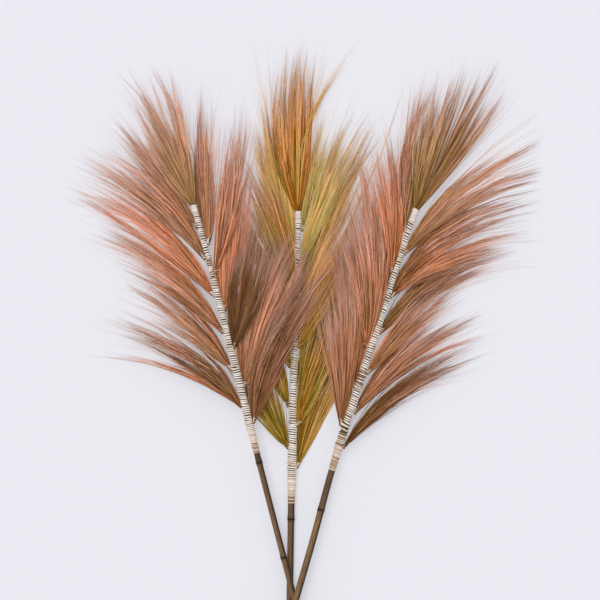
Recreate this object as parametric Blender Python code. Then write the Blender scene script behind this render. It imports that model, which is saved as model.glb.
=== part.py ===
"""A bundle of three dried rayung grass sprays, lying on a flat surface.

Each spray is a cane stem with split reed wound round its upper part. Bunches of grass are
tucked into knots of that binding, by turns on its left and its right, and one more stands
in its top. The three stems cross near their cut ends. The middle spray lies lowest, and
the inner bunches of the two outer sprays lie over it.

X runs across the bundle, +Y from the cut ends to the tips and +Z up from the surface, and
the origin is on the surface under the middle of the bundle's box. The layout below has its
own zero near the place where the outer stems cross, and is in millimetres. Headings are
degrees clockwise from +Y, seen from above.
"""

import math
import random
from collections import namedtuple

import bmesh
import bpy
from mathutils import Matrix, Vector

MM = 0.001
GAP = 0.3  # clearance between one piece and the next
CORNER_GAP = 0.37  # the same across the corners of a many-sided hole
SEED = 7
STEP = 8.0  # length over which the direction of a cane is taken

# Cane
STEM_SIDES = 8
NODE_SWELL = 1.14  # a node's radius against the cane's
NODE_HALF = 4.0
CANE_TOP_SHARE = 0.58  # the hidden top of the cane against its foot
CUT_END = -100.0

# Reed binding
BINDING_SIDES = 8
WALL_EDGE = 1.8  # how far the binding stands out from the cane at its lower edge
WALL_FOOT = 2.4  # and just above it
WALL_HEAD = 2.2
BAND_COUNT = 10
BAND_CREST = 0.72  # share of a band that is its flat crest
GROOVE = 0.9
FOOT_TAPER = 45.0  # length over which the foot thins to the cane
CANE_STOP = 16.0  # the cane ends this far below the top of the binding

# Knots, and the root of a bunch in its pocket
ROOT_RADIUS = 2.3
ROOT_SIDES = 6
POCKET_DEPTH = 11.0
POCKET_RUN_OUT = 12.0  # how far the cutter of a pocket runs on past its mouth
KNOT_RADIUS = 4.1
KNOT_TAIL = 8.0
KNOT_TAIL_SHARE = 0.6  # radius at the end of its tail against the knot's
KNOT_CLEARANCE = 4.2  # from the cane's surface to the pocket's axis
TOP_ROOT_RADIUS = 2.9
TOP_ROOT_RISE = 0.6  # the top bunch sits this far above the middle of the binding

# Grass: the bunches of one side take the lower and the upper lane by turns
LANE_ROOT = 3.2  # height of a root above or below the middle of its spray
LANE_MID = 6.5
LANE_LIFT = 3.8  # how far a wisp may stand above or below the middle of its lane
LOW_LANE_MID = 5.6  # the lower lane of the middle spray, which the surface presses flat
LOW_LANE_LIFT = 1.9
SETTLE = 0.33  # share of its length in which a bunch comes from its root to its lane
CORE_WAIST = 32.0  # where the core of a bunch is thickest, from its root
CORE_WAIST_RADIUS = 4.4
CORE_END = 70.0
CORE_END_RADIUS = 2.2
LEAVE_FIRST = 15.0  # the outer wisps leave the core here, and the inner ones last
LEAVE_LAST = 40.0
WISP_WIDTH = 6.4
WISP_HEIGHT = 0.46  # against the width
WISP_STATIONS = (0.32, 0.64, 1.0)  # shares of its length at which a wisp has a ring of points
WISP_WIDTHS = (0.42, 0.8, 0.9, 0.22)  # from the core to the tip, against the full width
LIFTS = (-0.9, 0.5, -0.2, 0.9, 0.0)  # places of neighbouring wisps in their lane
SIDE_SHORTER = 0.2  # how much shorter the wisps are at the sides of a fan
SHORTEST = 0.86
SIDE_WISPS = 7
TOP_WISPS = 10
WISP_SPREAD_START = 0.5  # share of a fan's angle that is already there at the root

# Heights of the sprays as they lie on each other
SURFACE_CUTTER = (2.0, 2.0, 0.1)  # block below the surface that cuts off what would reach into it, in metres
MIDDLE_LEVEL = 8.4
OUTER_LEVEL = 11.2  # of an outer spray that lies on the bare surface
MIDDLE_PILE = 21.5  # thickness of the middle spray, which the outer ones lie over
PILE_LEFT = 125.0  # how far the pile reaches on each side of the middle stem
PILE_RIGHT = 155.0
PILE_SLOPE = 160.0  # width of the slope from the pile down to the surface
PILE_FOOT = 200.0  # y where the pile starts, and how far above it has its full width
PILE_LENGTHENS = 250.0
CROSSING_END = 60.0  # y up to which the stems keep their height at the crossing
CROSSING_RISE = 200.0

# A bunch: y of its knot, heading at the knot, heading of its tip, length, and the angle that it fans out to.
Bunch = namedtuple("Bunch", "y start heading reach spread")
# A spray: plan of its cane as (x, y), radius, height at the crossing, nodes, binding, and its bunches.
Spray = namedtuple("Spray", "name plan radius crossing nodes foot head top left right")

LEFT = Spray(
    name="left",
    plan=[(26, -100), (-31, 121), (-74, 290), (-136, 537), (-179, 707), (-206, 804)],
    radius=6.0,
    crossing=18.9,
    nodes=[278, 88],
    foot=296,
    head=788,
    top=Bunch(788, -16, -22, 290, 24),
    left=[
        Bunch(750, -26, -36, 280, 14),
        Bunch(688, -30, -51, 318, 17),
        Bunch(614, -32, -54, 366, 16),
        Bunch(542, -32, -53, 344, 16),
        Bunch(468, -34, -52, 294, 16),
        Bunch(396, -42, -65, 362, 22),
    ],
    right=[
        Bunch(714, -8, -2, 300, 12),
        Bunch(656, -2, 8, 306, 12),
        Bunch(582, 0, 9, 292, 14),
        Bunch(508, 2, 10, 286, 14),
        Bunch(431, 6, 16, 330, 14),
        Bunch(360, 14, 25, 350, 11),
    ],
)
MIDDLE = Spray(
    name="middle",
    plan=[(-12, -100), (-8, 160), (-5, 330), (-3, 440), (2, 560), (6, 700), (7, 800)],
    radius=6.6,
    crossing=6.95,
    nodes=[163, -25],
    foot=194,
    head=776,
    top=Bunch(776, -2, -2, 344, 22),
    left=[
        Bunch(710, -10, -16, 270, 12),
        Bunch(630, -14, -23, 276, 14),
        Bunch(550, -14, -23, 272, 14),
        Bunch(471, -14, -22, 270, 14),
        Bunch(392, -20, -22, 256, 14),
        Bunch(310, -32, -23, 250, 15),
    ],
    right=[
        Bunch(744, 9, 14, 260, 12),
        Bunch(670, 12, 19, 312, 12),
        Bunch(590, 14, 20, 350, 11),
        Bunch(510, 14, 22, 350, 12),
        Bunch(430, 14, 22, 324, 13),
        Bunch(354, 18, 23, 320, 13),
        Bunch(271, 20, 19, 316, 15),
    ],
)
RIGHT = Spray(
    name="right",
    plan=[(-29, -100), (35, 121), (74, 264), (134, 454), (184, 608), (226, 740), (248, 800)],
    radius=6.7,
    crossing=31.8,
    nodes=[183, -5],
    foot=262,
    head=780,
    top=Bunch(780, 19, 23, 306, 32),
    left=[
        Bunch(740, 6, 7, 318, 10),
        Bunch(658, 2, -2, 262, 12),
        Bunch(586, 2, -2, 336, 10),
        Bunch(508, 0, -5, 263, 13),
        Bunch(430, -2, -4, 286, 13),
        Bunch(354, -2, -3, 272, 13),
    ],
    right=[
        Bunch(698, 33, 50, 326, 18),
        Bunch(613, 36, 59, 336, 17),
        Bunch(542, 36, 57, 330, 14),
        Bunch(462, 36, 52, 306, 15),
        Bunch(383, 38, 57, 344, 18),
        Bunch(315, 42, 58, 340, 14),
    ],
)

CANE = ("cane", (0.135, 0.085, 0.045), 0.5)
REED = ("reed", (0.62, 0.52, 0.38), 0.7)
GRASS = {
    "left": ("rust_grass", (0.34, 0.14, 0.085), 0.8),
    "middle": ("amber_grass", (0.36, 0.21, 0.06), 0.8),
    "right": ("russet_grass", (0.36, 0.15, 0.075), 0.8),
}


def smoothstep(value):
    share = min(1.0, max(0.0, value))
    return share * share * (3 - 2 * share)


def heading_vector(degrees):
    angle = math.radians(degrees)
    return Vector((math.sin(angle), math.cos(angle), 0.0))


def plan_x(plan, y):
    """x of a smooth curve through the plan's points at this y."""
    last = len(plan) - 2
    at = next((i for i in range(last) if y < plan[i + 1][1]), last)
    (x0, y0), (x1, y1) = plan[at], plan[at + 1]
    step = y1 - y0
    slopes = []
    for i in (at, at + 1):
        before, after = plan[max(i - 1, 0)], plan[min(i + 1, len(plan) - 1)]
        slopes.append((after[0] - before[0]) / (after[1] - before[1]) * step)
    t = (y - y0) / step
    return x0 + (x1 - x0) * smoothstep(t) + slopes[0] * (t**3 - 2 * t**2 + t) + slopes[1] * (t**3 - t**2)


def level(spray, x, y):
    """Height of the middle of a spray over the point x, y. The outer sprays ride over the middle one."""
    if spray.name == "middle":
        return MIDDLE_LEVEL
    beside = x - plan_x(MIDDLE.plan, min(y, MIDDLE.head))
    width = (PILE_LEFT if beside < 0 else PILE_RIGHT) * smoothstep((y - PILE_FOOT) / PILE_LENGTHENS)
    return OUTER_LEVEL + MIDDLE_PILE * (1 - smoothstep((abs(beside) - width) / PILE_SLOPE))


def spine(spray, y):
    """Point of the cane's centre line. Below the binding it comes down to where the stems cross."""
    x = plan_x(spray.plan, y)
    rise = smoothstep((y - CROSSING_END) / CROSSING_RISE)
    return Vector((x, y, spray.crossing + (level(spray, x, y) - spray.crossing) * rise))


def cane_radius(spray, y):
    """The cane is even below the binding and thins inside it."""
    share = smoothstep((y - spray.foot) / (spray.head - spray.foot))
    return spray.radius * (1 + (CANE_TOP_SHARE - 1) * share)


def binding_radius(spray, y):
    share = (y - spray.foot) / (spray.head - spray.foot)
    wall = WALL_FOOT + (WALL_HEAD - WALL_FOOT) * share
    foot = smoothstep((y - spray.foot) / FOOT_TAPER)
    return cane_radius(spray, y) + WALL_EDGE + (wall - WALL_EDGE) * foot


def new_object(name, data, collection):
    made = bpy.data.objects.new(name, data)
    collection.objects.link(made)
    return made


def rod(name, points, radii, sides, collection, profile=None):
    """A closed mesh rod along the points, round with that many sides or with a section of its own."""
    curve = bpy.data.curves.new(name, "CURVE")
    curve.dimensions = "3D"
    curve.twist_mode = "Z_UP"
    curve.use_fill_caps = True
    if profile is None:
        curve.bevel_depth = MM
        curve.bevel_resolution = (sides - 4) // 2
    else:
        curve.bevel_mode = "OBJECT"
        curve.bevel_object = profile
    spline = curve.splines.new("POLY")
    spline.points.add(len(points) - 1)
    for point, place, radius in zip(spline.points, points, radii):
        point.co = (*(place * MM), 1)
        point.radius = radius
        point.tilt = math.pi / sides if profile is None and sides == 8 else 0.0
    tube = new_object(name + "_curve", curve, collection)
    solid = as_mesh(name, tube, collection)
    bpy.data.objects.remove(tube)
    return solid


def as_mesh(name, source, collection):
    """The evaluated shape of an object as a mesh object of its own, with its caps welded on."""
    bpy.context.view_layer.update()
    graph = bpy.context.evaluated_depsgraph_get()
    mesh = bpy.data.meshes.new_from_object(source.evaluated_get(graph))
    mesh.name = name
    shape = bmesh.new()
    shape.from_mesh(mesh)
    bmesh.ops.remove_doubles(shape, verts=shape.verts, dist=1e-6)
    bmesh.ops.recalc_face_normals(shape, faces=shape.faces)
    shape.to_mesh(mesh)
    shape.free()
    made = new_object(name, mesh, collection)
    made.matrix_world = source.matrix_world
    return made


def combined(name, base, others, operation, collection):
    """The base joined with, or cut by, a collection of closed meshes, which are then removed."""
    tools = bpy.data.collections.new(name + "_tools")
    bpy.context.scene.collection.children.link(tools)
    for other in others:
        for owner in list(other.users_collection):
            owner.objects.unlink(other)
        tools.objects.link(other)
    boolean = base.modifiers.new(operation.lower(), "BOOLEAN")
    boolean.operation = operation
    boolean.operand_type = "COLLECTION"
    boolean.collection = tools
    boolean.solver = "MANIFOLD"
    made = as_mesh(name, base, collection)
    for spent in [base, *others]:
        bpy.data.objects.remove(spent)
    bpy.data.collections.remove(tools)
    return made


def wisp_profile(collection):
    """Section of a wisp, one unit wide: a low triangle with its ridge on top."""
    curve = bpy.data.curves.new("wisp_section", "CURVE")
    curve.dimensions = "2D"
    spline = curve.splines.new("POLY")
    corners = [(-0.5, -WISP_HEIGHT / 2), (0.5, -WISP_HEIGHT / 2), (0.0, WISP_HEIGHT / 2)]
    spline.points.add(len(corners) - 1)
    for point, (across, up) in zip(spline.points, corners):
        point.co = (across * MM, up * MM, 0, 1)
    spline.use_cyclic_u = True
    profile = new_object("wisp_section", curve, collection)
    profile.hide_render = True
    profile.display_type = "WIRE"
    return profile


def root_axis(spray, bunch, side, lane):
    """Where a bunch enters its knot, and the heading of its root."""
    at = spine(spray, bunch.y)
    ahead = heading_vector(bunch.start)
    if side == 0:
        return at + Vector((0, 0, TOP_ROOT_RISE)), (at - spine(spray, bunch.y - STEP)).normalized()
    along = (spine(spray, bunch.y + STEP) - spine(spray, bunch.y - STEP)).normalized()
    out = Vector((along.y, -along.x, 0)).normalized() * side
    clear = cane_radius(spray, bunch.y) + KNOT_CLEARANCE
    return at + out * clear + Vector((0, 0, lane * LANE_ROOT)), ahead


def lane_height(spray, place, root, lane, share, lift):
    """Height of a wisp that settles from its root into its lane, lift being its place there from -1 to 1."""
    low = spray.name == "middle" and lane < 0
    mid = LOW_LANE_MID if low else LANE_MID
    room = LOW_LANE_LIFT if low else LANE_LIFT
    settled = smoothstep(share / SETTLE)
    centre = level(spray, place.x, place.y) + lane * mid
    return root.z + (centre + lift * room - root.z) * settled


def wisp_points(spray, bunch, root, lane, fan, lift, reach):
    """Centre line of one wisp: a quadratic curve in plan from the core out, kept in its lane in height."""
    first = heading_vector(bunch.start + fan * bunch.spread * WISP_SPREAD_START)
    last = heading_vector(bunch.heading + fan * bunch.spread / 2)
    leave = LEAVE_FIRST + (LEAVE_LAST - LEAVE_FIRST) * (1 - abs(fan))
    points = []
    for share in (leave / reach, *WISP_STATIONS):
        place = root + first * (share * (1 - share) * reach) + last * (share**2 * reach)
        place.z = lane_height(spray, place, root, lane, share, lift)
        points.append(place)
    return points


def grass_bunch(name, spray, bunch, side, lane, collection, profile):
    """A slim core from the root out, and wisps that stand out of it to the furthest tips."""
    draw = random.Random(f"{SEED} {name}")
    root, ahead = root_axis(spray, bunch, side, lane)
    radius = TOP_ROOT_RADIUS if side == 0 else ROOT_RADIUS
    core_line = [root, root + ahead * (POCKET_DEPTH + 1)]
    core_radii = [radius, radius]
    for distance, thick in ((CORE_WAIST, CORE_WAIST_RADIUS), (CORE_END, CORE_END_RADIUS)):
        place = root + ahead * distance
        place.z = lane_height(spray, place, root, lane, distance / bunch.reach, 0)
        core_line.append(place)
        core_radii.append(thick)
    core = rod(name, core_line, core_radii, ROOT_SIDES, collection)
    count = TOP_WISPS if side == 0 else SIDE_WISPS
    wisps = []
    for i in range(count):
        fan = 2 * i / (count - 1) - 1
        lift = LIFTS[i % len(LIFTS)]
        reach = bunch.reach * (1 - SIDE_SHORTER * abs(fan) ** 1.5) * draw.uniform(SHORTEST, 1.0)
        line = wisp_points(spray, bunch, root, lane, fan, lift, reach)
        widths = [share * WISP_WIDTH for share in WISP_WIDTHS]
        wisps.append(rod(f"{name}_wisp_{i}", line, widths, 3, collection, profile))
    return combined(name, core, wisps, "UNION", collection)


def cane_stations(spray):
    """Every y at which the cane has a ring of points."""
    top = spray.head - CANE_STOP
    inside = [spray.foot + (top - spray.foot) * share / 6 for share in range(7)]
    nodes = [node + step for node in spray.nodes for step in (-NODE_HALF, 0, NODE_HALF)]
    below = [y for y in (30, 120, 220) if all(abs(y - node) > 3 * NODE_HALF for node in spray.nodes)]
    return sorted([CUT_END, *below, *nodes, *inside])


def cane(spray, collection):
    stations = cane_stations(spray)
    radii = [cane_radius(spray, y) * (NODE_SWELL if y in spray.nodes else 1) for y in stations]
    line = [spine(spray, y) for y in stations]
    return rod(spray.name + "_stem", line, radii, STEM_SIDES, collection)


def knot_and_pocket(name, spray, bunch, side, lane, collection):
    """The solid of a knot and the cutter of the pocket in it, both on the axis of the root."""
    inner, ahead = root_axis(spray, bunch, side, lane)
    radius = TOP_ROOT_RADIUS if side == 0 else ROOT_RADIUS
    wide = radius + CORNER_GAP
    hole = [inner - ahead * GAP, inner + ahead * (POCKET_DEPTH + POCKET_RUN_OUT)]
    pocket = rod(name + "_pocket", hole, [wide, wide], ROOT_SIDES, collection)
    if side == 0:
        return None, pocket
    body = [inner - ahead * KNOT_TAIL, inner + ahead * POCKET_DEPTH]
    thick = [KNOT_RADIUS * KNOT_TAIL_SHARE, KNOT_RADIUS]
    return rod(name + "_knot", body, thick, 6, collection), pocket


def binding(spray, bunches, collection):
    """Banded sleeve of wound reed with its knots, bored for the cane and the roots."""
    name = spray.name + "_binding"
    pitch = (spray.head + POCKET_DEPTH - spray.foot) / (BAND_COUNT - 1 + BAND_CREST)
    stations, radii = [], []
    for band in range(BAND_COUNT):
        low = spray.foot + band * pitch
        for share, depth in ((0.0, 0), (BAND_CREST, 0), ((1 + BAND_CREST) / 2, GROOVE)):
            y = low + share * pitch
            stations.append(y)
            radii.append(binding_radius(spray, min(y, spray.head)) - depth)
    line = [spine(spray, y) for y in stations[:-1]]
    sleeve = rod(name, line, radii[:-1], BINDING_SIDES, collection)
    knots, pockets = [], []
    for bunch_name, bunch, side, lane in bunches:
        knot, pocket = knot_and_pocket(bunch_name, spray, bunch, side, lane, collection)
        pockets.append(pocket)
        if knot:
            knots.append(knot)
    joined = combined(name, sleeve, knots, "UNION", collection)
    inside = [y for y in cane_stations(spray) if y >= spray.foot]
    inside = [spray.foot - NODE_HALF, *inside, inside[-1] + GAP]
    bore_radii = [cane_radius(spray, y) + CORNER_GAP for y in inside]
    bore = rod(name + "_bore", [spine(spray, y) for y in inside], bore_radii, STEM_SIDES, collection)
    made = combined(name, joined, [bore, *pockets], "DIFFERENCE", collection)
    return made


def material(name, colour, roughness):
    made = bpy.data.materials.get(name)
    if made:
        return made
    made = bpy.data.materials.new(name)
    made.use_nodes = True
    made.diffuse_color = (*colour, 1)
    shader = made.node_tree.nodes["Principled BSDF"]
    shader.inputs["Base Color"].default_value = (*colour, 1)
    shader.inputs["Roughness"].default_value = roughness
    shader.inputs["Metallic"].default_value = 0.0
    return made


def finish_piece(made, finish):
    made.data.materials.clear()
    made.data.materials.append(material(*finish))
    made.data.shade_smooth()
    made.data.set_sharp_from_angle(angle=math.radians(40))


def pressed_flat(made, collection):
    """A bunch that would reach below the surface is pressed flat on it."""
    if min(corner[2] for corner in made.bound_box) >= 0:
        return made
    depth = SURFACE_CUTTER[2]
    bpy.ops.mesh.primitive_cube_add(size=1, location=(0, SURFACE_CUTTER[1] / 4, -depth / 2))
    floor = bpy.context.object
    floor.scale = SURFACE_CUTTER
    return combined(made.name, made, [floor], "DIFFERENCE", collection)


def spray_bunches(spray):
    """Every bunch of a spray with its node's name, side and lane."""
    listed = [(f"{spray.name}_tuft_top", spray.top, 0, 1)]
    for side, label, bunches in ((-1, "left", spray.left), (1, "right", spray.right)):
        for i, bunch in enumerate(bunches):
            lane = -1 if i % 2 == 0 else 1
            listed.append((f"{spray.name}_tuft_{label}_{i + 1}", bunch, side, lane))
    return listed


def build_spray(spray, collection, profile):
    bunches = spray_bunches(spray)
    finish_piece(cane(spray, collection), CANE)
    finish_piece(binding(spray, bunches, collection), REED)
    for name, bunch, side, lane in bunches:
        made = grass_bunch(name, spray, bunch, side, lane, collection, profile)
        made = pressed_flat(made, collection)
        made.name = name
        finish_piece(made, GRASS[spray.name])


def centre_on_surface(pieces):
    """Moves the pieces together, so that the origin is under the middle of their box."""
    points = [corner for piece in pieces for corner in piece.data.vertices]
    low = [min(point.co[i] for point in points) for i in range(3)]
    high = [max(point.co[i] for point in points) for i in range(3)]
    shift = Vector(((low[0] + high[0]) / 2, (low[1] + high[1]) / 2, low[2]))
    for piece in pieces:
        piece.data.transform(Matrix.Translation(-shift))


def main():
    for old in list(bpy.data.objects):
        bpy.data.objects.remove(old)
    pieces = bpy.data.collections.new("rayung_grass_bundle")
    cutters = bpy.data.collections.new("cutters")
    for made in (pieces, cutters):
        bpy.context.scene.collection.children.link(made)
    profile = wisp_profile(cutters)
    for spray in (LEFT, MIDDLE, RIGHT):
        build_spray(spray, pieces, profile)
    centre_on_surface(pieces.objects)


main()
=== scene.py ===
"""The looks of a bundle of three dried rayung grass sprays, made around its fixed frame.

Every bunch of grass becomes several hundred fine stalks in pointed wisps, every binding one
flat reed wound round its cane with a knot at each bunch, and every stem a ringed cane with a
cut end. The layout repeats the frame's own: it is in millimetres, with headings in degrees
clockwise from +Y, and is moved and scaled to the frame when a mesh is made.
"""

import math
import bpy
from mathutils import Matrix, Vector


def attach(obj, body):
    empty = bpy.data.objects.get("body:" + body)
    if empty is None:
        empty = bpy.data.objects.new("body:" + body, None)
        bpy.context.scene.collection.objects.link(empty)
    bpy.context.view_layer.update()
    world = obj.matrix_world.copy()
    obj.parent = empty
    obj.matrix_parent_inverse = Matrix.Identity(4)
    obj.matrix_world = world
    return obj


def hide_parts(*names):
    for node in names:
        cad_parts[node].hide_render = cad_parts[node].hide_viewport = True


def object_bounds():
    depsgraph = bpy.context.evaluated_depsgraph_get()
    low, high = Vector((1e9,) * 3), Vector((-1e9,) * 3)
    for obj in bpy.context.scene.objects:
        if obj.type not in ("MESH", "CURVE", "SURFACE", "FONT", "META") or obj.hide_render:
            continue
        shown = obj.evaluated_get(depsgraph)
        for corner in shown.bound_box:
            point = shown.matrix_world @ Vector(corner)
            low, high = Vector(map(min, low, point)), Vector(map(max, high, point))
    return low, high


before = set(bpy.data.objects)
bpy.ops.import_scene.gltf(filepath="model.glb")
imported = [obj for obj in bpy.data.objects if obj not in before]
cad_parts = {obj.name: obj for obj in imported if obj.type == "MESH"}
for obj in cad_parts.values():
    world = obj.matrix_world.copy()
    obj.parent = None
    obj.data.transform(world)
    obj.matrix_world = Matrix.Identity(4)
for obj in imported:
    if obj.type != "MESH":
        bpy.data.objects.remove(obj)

import zlib
from collections import namedtuple

import bpy
import numpy as np
from bpy.props import FloatProperty, FloatVectorProperty, IntProperty, PointerProperty, StringProperty

bl_info = {
    "name": "Rayung Grass Bundle",
    "version": (1, 0, 0),
    "blender": (4, 5, 0),
    "location": "View3D > Sidebar > Rayung grass",
    "description": "Dresses a bundle of dried grass sprays with stalks, wound reed and ringed cane",
    "category": "Add Mesh",
}

CAD_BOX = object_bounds()
MM = 0.001
SEED = 11
BUNDLE_MIDDLE = (11.06, 507.45)  # x and y of the middle of the bundle's box in the layout

# Layout that the frame was built from
CUT_END = -100.0  # y of the canes' cut ends
CANE_TOP_SHARE = 0.58  # thickness of a cane's top, beside its foot
CANE_STOP = 16.0  # how far inside its binding a cane ends
WALL_EDGE = 1.8  # wall of a binding at its lower edge, at its foot and at its head
WALL_FOOT = 2.4
WALL_HEAD = 2.2
FOOT_TAPER = 45.0
KNOT_CLEARANCE = 4.2  # from the cane to the middle of a bunch's root
TOP_ROOT_RISE = 0.6
HEADING_STEP = 8  # length of cane on one side over which its heading is taken
LANE_ROOT = 3.2  # how far above or below the middle of its spray a bunch lies: at its root,
LANE_MID = 6.5  # beyond it,
LOW_LANE_MID = 5.6  # and beyond it under the middle spray
SETTLE = 0.33  # share of its length over which a stalk comes to its lane
MIDDLE_LEVEL = 8.4  # heights of the middle of a spray
OUTER_LEVEL = 11.2
MIDDLE_PILE = 21.5  # how much higher the outer sprays lie where they ride over the middle one
PILE_LEFT = 125.0  # how far to its left and right that is
PILE_RIGHT = 155.0
PILE_SLOPE = 160.0
PILE_FOOT = 200.0  # where the middle spray's grass begins to lift them, and over what length
PILE_LENGTHENS = 250.0
CROSSING_END = 60.0  # where the canes leave their crossing, and over what length
CROSSING_RISE = 200.0

# A bunch: y of its knot, heading there, heading of its tip, length, angles of its fan at the knot
# and at the tip, its place on its spray's scale of dyes from 0 to 1, how full it is, how much
# longer it is at the clockwise end of its fan, the two headings and the length of each loose
# wisp, and how bright it is.
Bunch = namedtuple(
    "Bunch", "y start heading reach base fan dye full lean loose tone", defaults=(1.0, 0.0, (), 0.0)
)
# A spray: plan is the line of its cane seen from above, crossing the height at which it crosses
# the others, nodes are the places of its rings, foot and head the ends of its binding, gaps the
# places where that stands open, worn the stretches where its reed is brown. warm says how golden
# its cane is, shoot how dark it is above its first ring, rich how strong the dyes are in its
# darkest and in its brightest stalks, loose_dye how far its loose wisps are moved along its scale.
Spray = namedtuple(
    "Spray",
    "name slot plan radius crossing nodes foot head gaps worn warm shoot rich loose_dye top left right",
)

LEFT = Spray(
    name="left",
    slot="rust_grass",
    plan=[(26, -100), (-31, 121), (-74, 290), (-136, 537), (-179, 707), (-206, 804)],
    radius=6.0,
    crossing=18.9,
    nodes=[278, 88],
    foot=296,
    head=788,
    gaps=[690],
    worn=[(296, 316), (640, 690)],
    warm=0.2,
    shoot=0.6,
    rich=(1.2, 0.96),
    loose_dye=0.1,
    top=Bunch(788, -21, -24.5, 298, 36, 23, 0.22, full=1.1, lean=0.16, tone=0.06,
              loose=[(-6, -30, 334), (-12, -14, 300), (-18, -19, 300)]),
    left=[
        Bunch(750, -36, -34, 262, 16, 8, 0.36),
        Bunch(688, -31, -49.5, 344, 27, 9, 0.6, full=0.78, tone=-0.06),
        Bunch(614, -33, -52.5, 382, 24, 5, 0.8, full=0.8, tone=0.16),
        Bunch(542, -36, -53, 304, 26, 9, 0.56, full=0.85, lean=0.08),
        Bunch(468, -33, -48, 300, 27, 11, 0.54, full=0.72, tone=0.12),
        Bunch(396, -36, -57, 344, 30, 18, 0.52, full=0.58, tone=-0.2,
              loose=[(-33, -55.7, 396), (-48, -67, 360), (-53, -72.5, 345)]),
    ],
    right=[
        Bunch(714, 1, -2, 272, 34, 4, 0.46, full=1.05, lean=-0.28, tone=-0.08,
              loose=[(0, -2, 332), (1, -1, 322), (2, 2, 314), (3, 2.6, 302), (-1, -3, 322)]),
        Bunch(656, 15, 10, 342, 20, 4, 0.54, full=0.95, tone=0.06),
        Bunch(582, 4, 8, 290, 38, 7, 0.9, full=1.15, tone=0.14),
        Bunch(508, 10, 12, 290, 46, 12, 0.46, full=1.4, tone=-0.62),
        Bunch(431, 8, 18, 345, 44, 10, 0.66, full=1.35, tone=0.12),
        Bunch(360, 8, 24.5, 392, 34, 8, 0.56, full=1.3, tone=-0.12),
    ],
)
MIDDLE = Spray(
    name="middle",
    slot="amber_grass",
    plan=[(-12, -100), (-8, 160), (-5, 330), (-3, 440), (2, 560), (6, 700), (7, 800)],
    radius=6.6,
    crossing=6.95,
    nodes=[163, -25],
    foot=194,
    head=776,
    gaps=[394, 520, 676],
    worn=[(194, 212), (560, 640)],
    warm=0.0,
    shoot=0.25,
    rich=(1.17, 0.92),
    loose_dye=-0.18,
    top=Bunch(
        776, -9, -1, 332, 36, 13, 0.78, full=1.2, lean=0.05, tone=-0.2,
        loose=[
            (-8, 22, 410), (-8, 21.8, 402), (-8, 21.4, 390), (-8.5, 21.2, 372), (-8, 21, 350),
            (-2, 3, 382), (-3, 3.8, 376), (-1, 2.4, 366), (2, 7, 310), (-2, 1.4, 356), (0, 5, 330),
        ],
    ),
    left=[
        Bunch(710, -20, -11, 300, 24, 7, 0.26, full=1.2, tone=0.32),
        Bunch(630, -13, -21.5, 276, 24, 9, 0.6, full=1.15, tone=-0.06),
        Bunch(550, -14, -23, 290, 28, 12, 0.62, full=1.3),
        Bunch(471, -16, -21, 290, 28, 12, 0.4, full=1.2),
        Bunch(392, -20, -22, 256, 26, 10, 0.45, full=1.1, tone=-0.1),
        Bunch(310, -26, -23, 250, 30, 12, 0.42, full=1.2, tone=-0.18),
    ],
    right=[
        Bunch(744, 7, 13.5, 234, 14, 4, 0.14, full=0.5, tone=0.3, loose=[(8, 17, 292), (9, 20, 270)]),
        Bunch(670, 15, 21, 346, 17, 7, 0.3, full=1.0, tone=0.24,
              loose=[(15, 19, 334), (14, 18.2, 324), (11, 14, 368), (12, 13.6, 350)]),
        Bunch(590, 15, 20, 388, 22, 7, 0.5, full=1.1, tone=0.2,
              loose=[(34, 25.5, 492), (34, 26, 400), (35, 26.5, 360)]),
        Bunch(510, 17, 25, 354, 26, 10, 0.58, full=1.25, tone=0.16),
        Bunch(430, 16, 23, 330, 28, 11, 0.4, full=1.2, tone=0.04),
        Bunch(354, 18, 22, 320, 28, 11, 0.5, full=1.2, tone=-0.1),
        Bunch(271, 17, 18, 316, 23, 13, 0.5, full=1.2, tone=-0.02),
    ],
)
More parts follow.
